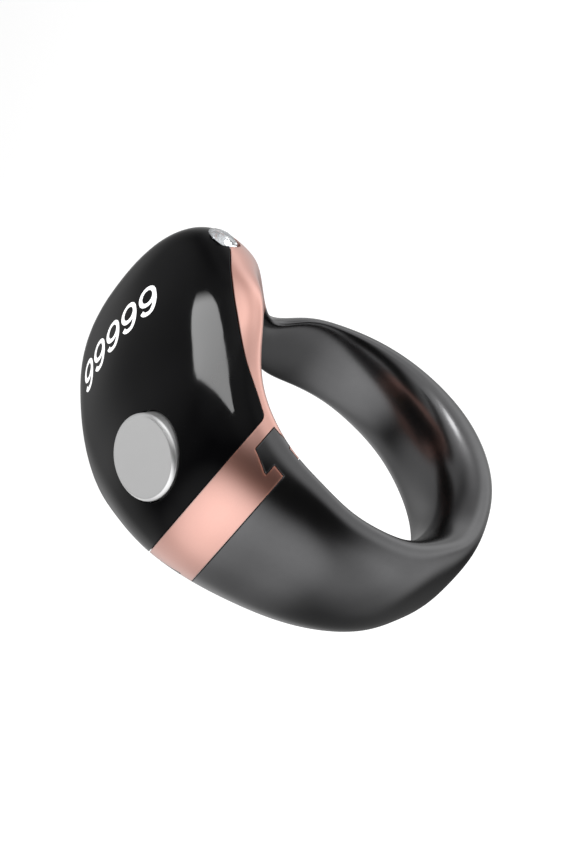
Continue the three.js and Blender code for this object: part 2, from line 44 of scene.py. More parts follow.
ringForm = {
    "bore": 10.0,
    "crest": [1.68, 1.8, 1.905, 1.62, 1.262, 1.213, 1.222, 1.244, 1.271, 1.334, 1.397, 1.42,
              1.415, 1.407, 1.42, 1.413, 1.45, 1.464, 1.473, 1.49, 1.59, 1.655, 1.635, 1.61],
    "halfWidth": [1.09, 1.03, 0.898, 0.54, 0.242, 0.305, 0.345, 0.359, 0.383, 0.402, 0.422, 0.437,
                  0.442, 0.429, 0.425, 0.45, 0.48, 0.532, 0.586, 0.653, 0.71, 0.79, 0.897, 1.036],
    "waist": [0.219, 0.396, 0.177, 0.262, 0.611, 0.574, 0.638, 0.673, 0.526, 0.399, 0.286, 0.26],
    "outerPower": [1.902, 2.356, 1.75, 1.95, 2.963, 2.914, 2.458, 2.576, 2.228, 2.017, 1.954, 1.867],
    "innerPower": [2.8, 2.5, 1.9, 1.86],
    "corePower": 9.0,
    "coreBore": 9.0,
    "aroundSteps": 256,
    "outerSteps": 60,
    "innerSteps": 40,
    "soften": 0.02,  # takes the crease off the crest where the power is under two
}

seamForm = {
    "lean": math.radians(24.8),
    "lowerBand": 0.44,
    "lowerCover": 4.13,
    "upperBand": 2.7,
    "upperCover": 6.7,
    "side": [(-8.23, 9.02), (-7.58, 9.48), (-6.91, 10.01), (-5.48, 11.1), (-3.89, 11.94), (-2.03, 12.63),
             (-0.34, 13.08), (1.76, 13.39), (3.74, 13.43), (5.2, 13.4), (6.8, 13.1), (8.0, 12.62)],
    "lowerCorner": 11.58,
    "upperCorner": 13.35,
    "cornerCut": 0.45,
    "cornerSteps": 14,
    "sideSteps": 132,
    "gap": 0.07,
    "inside": 1.0,  # where the two shoulders' cuts are joined, well inside the bore
    "passing": 30.0,  # how far a cut runs past the ring
}

tongueForm = {
    "inner": 11.65,
    "outer": 13.3,
    "root": -1.0,
    "top": 2.75,
    "crownStep": 0.17,
    "innerCrownStep": 0.1,
    "neckShare": 1.5,  # how far the neck draws in, in steps of the inner crown
    "neckHeight": 2.16,
    "shoulder": 1.06,
    "barbReach": 0.63,
    "barbTip": 1.23,
    "innerReach": 0.5,
    "innerRamp": 0.15,
    "innerLow": 1.16,
    "innerHigh": 1.51,
    "upperShift": -0.3,
}

buttonForm = {
    "angle": math.radians(-33.2),
    "lean": math.radians(-37.7),
    "topRadius": 16.771,
    "radius": 3.18,
    "gap": 0.12,
    "bossRadius": 4.25,
    "bossDepth": 2.15,
    "flangeRadius": 3.65,
    "flangeDepth": 2.5,
    "travel": 0.3,
    "above": 3.0,  # where the well's cut starts over the button's top
}


# Forms shared by the pieces

def deselectAll():
    if bpy.context.object and bpy.context.object.mode != "OBJECT":
        bpy.ops.object.mode_set(mode="OBJECT")
    bpy.ops.object.select_all(action="DESELECT")


def selectOnly(piece):
    deselectAll()
    piece.select_set(True)
    bpy.context.view_layer.objects.active = piece


def nameLast(name):
    made = bpy.context.object
    made.name = name
    made.data.name = name
    return made


def smoothTable(table, angles):
    # a closed cubic spline through the table's values, spaced evenly round the finger
    count = len(table)
    system = np.zeros((count, count))
    for row in range(count):
        system[row, row] = 4 / 6
        system[row, (row + 1) % count] += 1 / 6
        system[row, (row - 1) % count] += 1 / 6
    weights = np.linalg.solve(system, np.array(table))
    place = (np.asarray(angles) / (2 * np.pi) * count) % count
    index = np.floor(place).astype(int)
    part = place - index
    return (weights[(index - 1) % count] * (1 - part) ** 3 / 6
            + weights[index % count] * (3 * part ** 3 - 6 * part ** 2 + 4) / 6
            + weights[(index + 1) % count] * (-3 * part ** 3 + 3 * part ** 2 + 3 * part + 1) / 6
            + weights[(index + 2) % count] * part ** 3 / 6)


def bent(value, power):
    # a sine or cosine bent to a superellipse of this power
    soften = ringForm["soften"]
    return value * ((value * value + soften) / (1 + soften)) ** (1 / power - 0.5)


def ringPoints(angle, turn, inset=0.0, core=False):
    # the skin of the whole ring; a core is that skin inset, but reaching past the bore's wall
    bore = ringForm["bore"]
    crest = smoothTable(ringForm["crest"], angle) * bore
    halfWidth = smoothTable(ringForm["halfWidth"], angle) * bore - inset
    waist = bore + smoothTable(ringForm["waist"], angle) * (crest - bore)
    outer = np.sin(turn) >= 0
    innerPower = ringForm["corePower"] if core else smoothTable(ringForm["innerPower"], angle)
    power = np.where(outer, smoothTable(ringForm["outerPower"], angle), innerPower)
    innerRadius = ringForm["coreBore"] if core else bore
    reach = np.where(outer, crest - inset - waist, waist - innerRadius)
    radius = waist + reach * bent(np.sin(turn), power)
    across = halfWidth * bent(np.cos(turn), power)
    return np.stack([radius * np.sin(angle), across, radius * np.cos(angle)], axis=-1)


def setPlaces(piece, places):
    piece.data.vertices.foreach_set("co", (np.asarray(places) * mm).astype(np.float32).ravel())
    piece.data.update()


def faceOutward(piece):
    selectOnly(piece)
    bpy.ops.object.mode_set(mode="EDIT")
    bpy.ops.mesh.select_all(action="SELECT")
    bpy.ops.mesh.normals_make_consistent(inside=False)
    bpy.ops.object.mode_set(mode="OBJECT")


def addRing(name, inset=0.0, core=False):
    # the torus gives the faces, and setPlaces the shape
    deselectAll()
    around = ringForm["aroundSteps"]
    outerSteps, innerSteps = ringForm["outerSteps"], ringForm["innerSteps"]
    bpy.ops.mesh.primitive_torus_add(major_segments=around, minor_segments=outerSteps + innerSteps,
                                     major_radius=0.013, minor_radius=0.003)
    ring = nameLast(name)
    turns = np.concatenate([np.pi * np.arange(outerSteps) / outerSteps,
                            np.pi * (1 + np.arange(innerSteps) / innerSteps)])
    angles = 2 * np.pi * np.arange(around) / around
    angleGrid, turnGrid = np.meshgrid(angles, turns, indexing="ij")
    setPlaces(ring, ringPoints(angleGrid.ravel(), turnGrid.ravel(), inset, core))
    faceOutward(ring)
    return ring


def addPrism(name, outline, width=2 * seamForm["passing"]):
    # an outline in the ring's plane, run along the finger; setPlaces puts the circle's points on it
    deselectAll()
    bpy.ops.mesh.primitive_circle_add(vertices=len(outline), radius=0.01, fill_type="NGON")
    prism = nameLast(name)
    setPlaces(prism, [(x, -width / 2, z) for x, z in outline])
    bpy.ops.object.mode_set(mode="EDIT")
    bpy.ops.mesh.select_all(action="SELECT")
    bpy.ops.mesh.extrude_region_move(TRANSFORM_OT_translate={"value": (0, width * mm, 0)})
    bpy.ops.object.mode_set(mode="OBJECT")
    faceOutward(prism)
    return prism


def addDisc(name, radius, top, base, sides=96, sideways=0.0):
    # a disc in the button's frame, between two depths under its top
    deselectAll()
    bpy.ops.mesh.primitive_cylinder_add(vertices=sides, radius=radius * mm, depth=(base - top) * mm,
                                        location=(0, sideways * mm, -(top + base) / 2 * mm))
    disc = nameLast(name)
    disc.matrix_world = buttonMatrix() @ disc.matrix_world
    return disc


def addBlock(name, half, halfWidth, top, base, sideways=0.0):
    deselectAll()
    bpy.ops.mesh.primitive_cube_add(size=1, location=(sideways * mm, 0, -(top + base) / 2 * mm),
                                    scale=(2 * half * mm, 2 * halfWidth * mm, (base - top) * mm))
    block = nameLast(name)
    block.matrix_world = buttonMatrix() @ block.matrix_world
    return block


def addBarrel(name, radius, sides=192):
    deselectAll()
    bpy.ops.mesh.primitive_cylinder_add(vertices=sides, radius=radius * mm, depth=2 * seamForm["passing"] * mm,
                                        rotation=(math.pi / 2, 0, 0))
    return nameLast(name)


def addSector(name, inner, outer, start, end, halfWidth):
    angles = np.radians(np.linspace(start, end, int(abs(end - start)) + 1))  # one step for each degree
    outline = [(outer * math.sin(a), outer * math.cos(a)) for a in angles]
    outline += [(inner * math.sin(a), inner * math.cos(a)) for a in angles[::-1]]
    return addPrism(name, outline, 2 * halfWidth)


def buttonMatrix():
    angle, radius = buttonForm["angle"], buttonForm["topRadius"] * mm
    place = Matrix.Translation((radius * math.sin(angle), 0, radius * math.cos(angle)))
    return place @ Matrix.Rotation(buttonForm["lean"], 4, "Y")


def carve(piece, tool, operation="DIFFERENCE"):
    selectOnly(piece)
    cut = piece.modifiers.new("cut", "BOOLEAN")
    cut.operation = operation
    cut.solver = "MANIFOLD"
    cut.object = tool
    bpy.ops.object.modifier_apply(modifier="cut")
    bpy.data.objects.remove(tool, do_unlink=True)
    return piece


def shoulderPoint(side, outwards, height):
    # a point in a shoulder's own frame, whose joint with the band leans off the ring's plane
    sine, cosine = math.sin(seamForm["lean"]), math.cos(seamForm["lean"])
    return side * (outwards * cosine - height * sine), outwards * sine + height * cosine


def shoulderHalf(name, side, height):
    far = seamForm["passing"]
    corners = [(0, height), (far, height), (far, -far), (0, -far)]
    return addPrism(name, [shoulderPoint(side, out, high) for out, high in corners])


def bandRegion(name, gap):
    far, inside = seamForm["passing"], seamForm["inside"]
    low, high = seamForm["lowerBand"] - gap, seamForm["upperBand"] - gap
    return addPrism(name, [
        shoulderPoint(-1, far, low), shoulderPoint(-1, inside, low),
        shoulderPoint(1, inside, high), shoulderPoint(1, far, high), (far, -far), (-far, -far)])


def addTongue(name, side, base, shift, gap):
    form = tongueForm
    inner, outer, crown = form["inner"], form["outer"], form["crownStep"]
    innerCrown = form["innerCrownStep"]
    outline = [
        (inner - gap, form["root"]), (inner - gap, form["innerLow"] - gap - form["innerRamp"]),
        (inner - form["innerReach"] - gap, form["innerLow"]),
        (inner - form["innerReach"] - gap, form["innerHigh"] + gap),
        (inner - form["neckShare"] * innerCrown - gap, form["neckHeight"] + gap),
        (inner - innerCrown - gap, form["top"] + gap), (outer + crown + gap / 2, form["top"] + gap),
        (outer + form["barbReach"] + gap, form["barbTip"]),
        (outer + form["barbReach"] + gap, form["shoulder"] - gap),
        (outer + gap, form["shoulder"] - gap), (outer + gap, form["root"])]
    return addPrism(name, [shoulderPoint(side, out + shift, high + base) for out, high in outline])


def splinePoints(points, steps):
    # a smooth line through the points
    points = [np.array(p) for p in points]
    made = []
    last = len(points) - 1
    for step in range(steps + 1):
        place = last * step / steps
        index = min(int(place), last - 1)
        part = place - index
        before, start, end = points[max(index - 1, 0)], points[index], points[index + 1]
        after = points[min(index + 2, last)]
        leave, arrive = (end - before) / 2, (after - start) / 2
        made.append((2 * start - 2 * end + leave + arrive) * part ** 3
                    + (3 * end - 3 * start - 2 * leave - arrive) * part ** 2 + leave * part + start)
    return made


def softCorner(before, corner, after):
    # a corner of an outline, rounded between its two sides
    before, corner, after = np.array(before), np.array(corner), np.array(after)
    cut = seamForm["cornerCut"]
    start = corner + (before - corner) / np.linalg.norm(before - corner) * cut
    end = corner + (after - corner) / np.linalg.norm(after - corner) * cut
    parts = np.linspace(0, 1, seamForm["cornerSteps"] + 1)
    return [(1 - t) ** 2 * start + 2 * t * (1 - t) * corner + t * t * end for t in parts]


def coverRegion(name, lift):
    far = seamForm["passing"]
    seam = splinePoints(seamForm["side"], seamForm["sideSteps"])
    lowerEnd = shoulderPoint(-1, far, seamForm["lowerCover"])
    upperEnd = shoulderPoint(1, far, seamForm["upperCover"])
    lower = shoulderPoint(-1, seamForm["lowerCorner"], seamForm["lowerCover"])
    upper = shoulderPoint(1, seamForm["upperCorner"], seamForm["upperCover"])
    outline = [lowerEnd, *softCorner(lowerEnd, lower, seam[0]), *seam,
               *softCorner(seam[-1], upper, upperEnd), upperEnd, (far, far), (-far, far)]
    return addPrism(name, [(x, z + lift) for x, z in outline])


# Stone's frame: its place on the near side's seam, leant off the surface towards the finger

stoneForm = {
    "angle": math.radians(23.4),
    "turn": math.radians(166),
    "lean": math.radians(16),
    "radius": 1.26,
    "crownHeight": 0.36,
    "girdle": 0.08,
    "pavilion": 0.98,
    "table": 0.56,
    "proud": 0.22,
    "seatGap": 0.04,
    "starOut": 1.03,  # upper facets meet a little past the middle of table and edge
    "lowerIn": 0.24,  # lower facets meet at this share of the radius
    "roomTop": 3.0,
    "roomSides": 64,
    "culet": 0.01,  # the blunt tip of the room that the stone takes
    "normalStep": math.radians(0.5),
    "backBelow": 0.03,
    "flat": math.radians(0.3),  # faces of one plane closer than this are joined
    "smooth": 0.5,
}


def stoneMatrix():
    step = stoneForm["normalStep"]
    angle, turn = stoneForm["angle"], stoneForm["turn"]
    places = ringPoints(np.array([angle, angle + step, angle]), np.array([turn, turn, turn - step]))
    normal = Vector(np.cross(places[1] - places[0], places[2] - places[0])).normalized()
    if normal.y > 0:
        normal.negate()
    normal.rotate(Matrix.Rotation(stoneForm["lean"], 3, "X"))
    spin = Vector((0, 0, 1)).rotation_difference(normal)
    return Matrix.Translation(Vector(places[0]) * mm) @ spin.to_matrix().to_4x4()


def turnProfile(name, profile, sides=128):
    # a profile of radius and height, turned by extruding one ring after another
    deselectAll()
    bpy.ops.mesh.primitive_circle_add(vertices=sides, radius=profile[0][0] * mm,
                                      location=(0, 0, profile[0][1] * mm))
    piece = nameLast(name)
    bpy.ops.object.transform_apply(location=True, rotation=True, scale=True)
    bpy.ops.object.mode_set(mode="EDIT")
    bpy.ops.mesh.select_all(action="SELECT")
    bpy.ops.mesh.edge_face_add()
    bpy.ops.mesh.select_all(action="SELECT")
    for radius, height in profile[1:]:
        bpy.ops.mesh.extrude_edges_move(TRANSFORM_OT_translate={"value": (0, 0, 0)})
        shape = bmesh.from_edit_mesh(piece.data)
        for vertex in [v for v in shape.verts if v.select]:
            flat = math.hypot(vertex.co.x, vertex.co.y)
            vertex.co = (vertex.co.x / flat * radius * mm, vertex.co.y / flat * radius * mm, height * mm)
        bmesh.update_edit_mesh(piece.data)
    bpy.ops.mesh.edge_face_add()
    bpy.ops.object.mode_set(mode="OBJECT")
    faceOutward(piece)
    return piece


def settle(piece, matrix, angle=30):
    # puts a piece at its place and leaves its object at the origin
    selectOnly(piece)
    piece.matrix_world = matrix @ piece.matrix_world
    bpy.ops.object.transform_apply(location=True, rotation=True, scale=True)
    bpy.ops.object.shade_smooth_by_angle(angle=math.radians(angle))
    return piece


# Ring's own pieces

wholeRing = addRing("wholeRing")


def copyOf(piece, name):
    copied = piece.copy()
    copied.data = piece.data.copy()
    copied.name = name
    copied.data.name = name
    bpy.context.collection.objects.link(copied)
    return copied


def stoneCone(name):
    # the room that the stone's setting takes from its neighbours
    form = stoneForm
    foot = form["proud"] - form["crownHeight"] - form["girdle"]
    radius = form["radius"] + form["seatGap"]
    culet = foot - form["pavilion"] - form["seatGap"]
    cone = turnProfile(name, [(form["culet"], culet), (radius, foot), (radius, form["roomTop"])], form["roomSides"])
    cone.matrix_world = stoneMatrix() @ cone.matrix_world
    return cone


def buttonWell(piece):
    form = buttonForm
    radius, depth = form["radius"] + form["gap"], form["bossDepth"]
    carve(piece, addDisc("well", radius, -form["above"], depth + form["travel"]))
    return carve(piece, addDisc("flangeRoom", form["flangeRadius"] + form["gap"], depth,
                                form["flangeDepth"] + 2 * form["travel"]))


coverForm = {"wall": 1.1, "gap": 0.08, "stepLift": 0.14, "stepInset": 0.3}

coverShell = copyOf(wholeRing, "coverShell")
carve(coverShell, coverRegion("coverCut", coverForm["gap"]), "INTERSECT")
carve(coverShell, addRing("coverCore", coverForm["wall"], True))
coverBoss = addRing("coverBoss", coverForm["stepInset"], True)  # stays under the skin, which keeps it smooth
carve(coverBoss, coverRegion("bossCut", coverForm["gap"]), "INTERSECT")
carve(coverBoss, addDisc("bossDisc", buttonForm["bossRadius"], 0, buttonForm["bossDepth"]), "INTERSECT")
carve(coverShell, coverBoss, "UNION")
buttonWell(coverShell)
carve(coverShell, stoneCone("stoneRoom"))
coverStep = addRing("coverStep", coverForm["stepInset"], True)
carve(coverStep, coverRegion("stepCut", coverForm["stepLift"]))
carve(coverShell, coverStep)
settle(coverShell, Matrix())
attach(coverShell, "head")
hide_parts("display_cover")
print("cover shell", len(coverShell.data.polygons))

frameForm = {
    "wall": 1.45,
    "floor": 11.5,
    "sectorInner": 7.0,  # the lid's cuts start well inside the bore
    "lidRadius": 10.95,
    "lidGap": 0.03,
    "lidEndGap": 0.15,
    "lidStart": -38,
    "lidEnd": 32,
    "lidHalfWidth": 5.9,
    "windowHalfWidth": 5.3,
    "windowStart": -24,
    "windowEnd": 28,
    "windowPast": 1.0,
    "cavityLow": 3.95,
    "cavityHigh": 6.1,
    "boardBase": 4.05,
    "boardHalf": 2.15,
    "boardHalfWidth": 3.4,
    "boardGap": 0.04,
    "blockWall": 0.7,
    "blockDeep": 5.0,
    "blockOpen": 1.0,  # the block is open towards the ribbon, from this far inside the board's edge
    "blockInFloor": 0.3,  # the block runs into the floor and stops under the skin
    "blockUnderSkin": 0.1,
    "pinRadius": 0.6,
    "pinGap": 0.03,
    "pinSpacing": 3.6,
    "pinLong": 2.72,
    "pinPast": 3.0,
    "pinSides": 48,
}


def cutPins(piece):
    form = frameForm
    base = form["boardBase"]
    for side in (-1, 1):
        carve(piece, addDisc("pinHole", form["pinRadius"] + form["pinGap"], base,
                             base + form["pinLong"] + form["pinPast"], form["pinSides"],
                             side * form["pinSpacing"] / 2))


frameBody = copyOf(wholeRing, "frameBody")
carve(frameBody, bandRegion("bandCut", -seamForm["gap"] / 2))
carve(frameBody, addTongue("lowerSlot", -1, seamForm["lowerBand"], 0, seamForm["gap"]))
carve(frameBody, addTongue("upperSlot", 1, seamForm["upperBand"], tongueForm["upperShift"], seamForm["gap"]))
carve(frameBody, coverRegion("coverRoom", 0))
cavity = addRing("cavity", frameForm["wall"], True)
carve(cavity, addBarrel("floorBarrel", frameForm["floor"]))
carve(cavity, shoulderHalf("lowLimit", -1, frameForm["cavityLow"]))
carve(cavity, shoulderHalf("highLimit", 1, frameForm["cavityHigh"]))
carve(frameBody, cavity)
wall, boardBase, far = frameForm["blockWall"], frameForm["boardBase"], seamForm["passing"]
switchBlock = addBlock("switchBlock", frameForm["boardHalf"] + wall, frameForm["boardHalfWidth"] + wall,
                       boardBase - wall, boardBase + frameForm["blockDeep"])
carve(switchBlock, addBlock("blockCut", 2 * frameForm["blockOpen"], far, 0, far,
                            frameForm["boardHalf"] + frameForm["blockOpen"]))
carve(switchBlock, addBarrel("blockFloor", frameForm["floor"] - frameForm["blockInFloor"]))
carve(switchBlock, addRing("blockLimit", frameForm["wall"] - frameForm["blockUnderSkin"], True), "INTERSECT")
carve(frameBody, switchBlock, "UNION")
carve(frameBody, addSector("lidRecess", frameForm["sectorInner"], frameForm["lidRadius"], frameForm["lidStart"],
                           frameForm["lidEnd"], frameForm["lidHalfWidth"]))
carve(frameBody, addSector("cellWindow", frameForm["sectorInner"], frameForm["floor"] + frameForm["windowPast"],
                           frameForm["windowStart"], frameForm["windowEnd"], frameForm["windowHalfWidth"]))
carve(frameBody, addBlock("boardSeat", frameForm["boardHalf"] + frameForm["boardGap"],
                          frameForm["boardHalfWidth"] + frameForm["boardGap"], 0, boardBase))
cutPins(frameBody)
carve(frameBody, stoneCone("stoneRoom"))
settle(frameBody, Matrix())
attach(frameBody, "head")
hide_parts("mid_frame")
print("frame", len(frameBody.data.polygons))

bandBody = copyOf(wholeRing, "bandBody")
bandRoom = bandRegion("bandRoom", seamForm["gap"] / 2)
carve(bandRoom, addTongue("lowerTongue", -1, seamForm["lowerBand"], 0, 0), "UNION")
carve(bandRoom, addTongue("upperTongue", 1, seamForm["upperBand"], tongueForm["upperShift"], 0), "UNION")
carve(bandBody, bandRoom, "INTERSECT")
settle(bandBody, Matrix())
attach(bandBody, "band")
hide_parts("band")
print("band", len(bandBody.data.polygons))

lidPlate = copyOf(wholeRing, "lidPlate")
carve(lidPlate, addSector("lidCut", frameForm["sectorInner"], frameForm["lidRadius"],
                          frameForm["lidStart"] + frameForm["lidEndGap"], frameForm["lidEnd"] - frameForm["lidEndGap"],
                          frameForm["lidHalfWidth"] - frameForm["lidGap"]), "INTERSECT")
cutPins(lidPlate)
settle(lidPlate, Matrix())
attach(lidPlate, "head")
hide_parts("finger_side_lid")
bpy.data.objects.remove(wholeRing, do_unlink=True)
print("lid", len(lidPlate.data.polygons))


# Button: flat satin top, polished rim, side wall with the seal's groove

capForm = {
    "profile": [(2.9, 0), (2.935, -0.004), (2.965, -0.018), (3.115, -0.168), (3.15, -0.21), (3.17, -0.26),
                (3.18, -0.32), (3.18, -1.55), (2.96, -1.55), (2.96, -1.99), (3.18, -1.99), (3.18, -2.15),
                (3.65, -2.15), (3.65, -2.5)],  # radius and height, from the flat top to the flange
    "smooth": 50,
}

buttonCap = turnProfile("buttonCap", capForm["profile"])
buttonTop = max(buttonCap.data.polygons, key=lambda face: face.center.z).index
settle(buttonCap, buttonMatrix(), capForm["smooth"])
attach(buttonCap, "button")
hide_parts("button_cap")
print("button")


# Stone: a round brilliant cut with a foiled back, the hull of its corners

def brilliantPoints():
    form = stoneForm
    radius, crown, proud = form["radius"], form["crownHeight"], form["proud"]
    girdleTop, girdleFoot = proud - crown, proud - crown - form["girdle"]
    culet = girdleFoot - form["pavilion"]
    tableRadius = radius * form["table"]
    starRadius = (tableRadius + radius) / 2 * form["starOut"]
    eighth, sixteenth = math.pi / 4, math.pi / 8
    starHeight = girdleTop + crown * (radius - starRadius * math.cos(sixteenth)) / (radius - tableRadius)
    lowerRadius = radius * form["lowerIn"]
    lowerHeight = culet + (girdleFoot - culet) * lowerRadius * math.cos(sixteenth) / radius
    points = [(0, 0, culet)]
    for step in range(8):
        angle = step * eighth
        points.append((tableRadius * math.cos(angle), tableRadius * math.sin(angle), proud))
        angle += sixteenth
        points.append((starRadius * math.cos(angle), starRadius * math.sin(angle), starHeight))
        points.append((lowerRadius * math.cos(angle), lowerRadius * math.sin(angle), lowerHeight))
    for step in range(32):
        angle = step * sixteenth / 2
        for height in (girdleTop, girdleFoot):
            points.append((radius * math.cos(angle), radius * math.sin(angle), height))
    return points


deselectAll()
stonePoints = brilliantPoints()
bpy.ops.mesh.primitive_circle_add(vertices=len(stonePoints), radius=0.001)
cutStone = nameLast("cutStone")
setPlaces(cutStone, stonePoints)
bpy.ops.object.mode_set(mode="EDIT")
bpy.ops.mesh.select_all(action="SELECT")
bpy.ops.mesh.delete(type="EDGE_FACE")
bpy.ops.mesh.select_all(action="SELECT")
bpy.ops.mesh.convex_hull()
bpy.ops.mesh.dissolve_limited(angle_limit=stoneForm["flat"])
bpy.ops.object.mode_set(mode="OBJECT")
faceOutward(cutStone)
foot = (stoneForm["proud"] - stoneForm["crownHeight"] - stoneForm["girdle"] / 2) * mm
stoneBack = [face.index for face in cutStone.data.polygons
             if face.center.z < foot - stoneForm["backBelow"] * mm]
settle(cutStone, stoneMatrix(), stoneForm["smooth"])
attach(cutStone, "head")
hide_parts("stone")
print("stone", len(cutStone.data.polygons))


# Digits: strokes that stand a hair over the lens's skin, following the dome

digitForm = {
    "count": 5,
    "height": 2.64,
    "wide": 1.09,
    "stroke": 0.133,
    "pitch": 2.19,
    "base": 0.98,
    "first": 5.87,
    "turn": -0.027,
    "bowl": ((0, 0.66), (0.255, 0.285)),
    "tail": [(0.255, 0.66), (0.262, 0.52), (0.245, 0.36), (0.19, 0.2), (0.1, 0.09), (0, 0.06),
             (-0.1, 0.075), (-0.18, 0.13), (-0.235, 0.22)],
    "lift": 0.012,
    "deep": 0.03,
    "above": 50.0,
    "smooth": 40,
}


def ovalOutline(centre, radii, grow, steps=72):
    angles = [2 * math.pi * step / steps for step in range(steps)]
    return [(centre[0] + (radii[0] + grow) * math.cos(a), centre[1] + (radii[1] + grow) * math.sin(a))
            for a in angles]


def ribbonOutline(line, width, steps=64):
    # a stroke of even width along a line
    middle = np.array(splinePoints(line, steps))
    run = np.gradient(middle, axis=0)
    aside = np.stack([-run[:, 1], run[:, 0]], axis=1) / np.linalg.norm(run, axis=1)[:, None] * width / 2
    return [tuple(p) for p in np.concatenate([middle + aside, (middle - aside)[::-1]])]


nine = addPrism("nine", ovalOutline(*digitForm["bowl"], digitForm["stroke"] / 2), 1)
carve(nine, addPrism("bowlRoom", ovalOutline(*digitForm["bowl"], -digitForm["stroke"] / 2), 2))
carve(nine, addPrism("tail", ribbonOutline(digitForm["tail"], digitForm["stroke"]), 1), "UNION")
selectOnly(nine)
bpy.ops.object.mode_set(mode="EDIT")
bpy.ops.mesh.select_all(action="SELECT")
bpy.ops.mesh.quads_convert_to_tris(quad_method="BEAUTY", ngon_method="BEAUTY")
bpy.ops.object.mode_set(mode="OBJECT")

bpy.context.view_layer.update()
flatNine = np.array([v.co for v in nine.data.vertices]) / mm
digitPieces = [nine] + [copyOf(nine, "nine") for step in range(digitForm["count"] - 1)]
cosine, sine = math.cos(digitForm["turn"]), math.sin(digitForm["turn"])
for place, digit in enumerate(digitPieces):
    places = []
    for x, y, z in flatNine:
        up = digitForm["base"] + z * digitForm["height"]
        along = digitForm["first"] - (place + 0.5) * digitForm["pitch"] - x * digitForm["height"] * digitForm["wide"]
        above = ((up * cosine - along * sine) * mm, (up * sine + along * cosine) * mm, digitForm["above"] * mm)
        where, normal = coverShell.ray_cast(above, Vector((0, 0, -1)))[1:3]
        deep = digitForm["lift"] if y > 0 else digitForm["lift"] - digitForm["deep"]
        places.append(np.array(where) / mm + np.array(normal) * deep)
    setPlaces(digit, places)
    faceOutward(digit)
deselectAll()
for piece in digitPieces:
    piece.select_set(True)
bpy.context.view_layer.objects.active = nine
bpy.ops.object.join()
countDigits = nameLast("countDigits")
bpy.ops.object.shade_smooth_by_angle(angle=math.radians(digitForm["smooth"]))
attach(countDigits, "head")
print("digits", len(countDigits.data.polygons))


# Finishes

def linearColour(text):
    values = [int(text[step:step + 2], 16) / 255 for step in (1, 3, 5)]
    return [v / 12.92 if v <= 0.04045 else ((v + 0.055) / 1.055) ** 2.4 for v in values] + [1]


def addNode(tree, kind, settings=None, values=None, links=None):
    made = tree.nodes.new(kind)
    for name, value in (settings or {}).items():
        setattr(made, name, value)
    for name, value in (values or {}).items():
        made.inputs[name].default_value = value
    for name, source in (links or {}).items():
        tree.links.new(source, made.inputs[name])
    return made


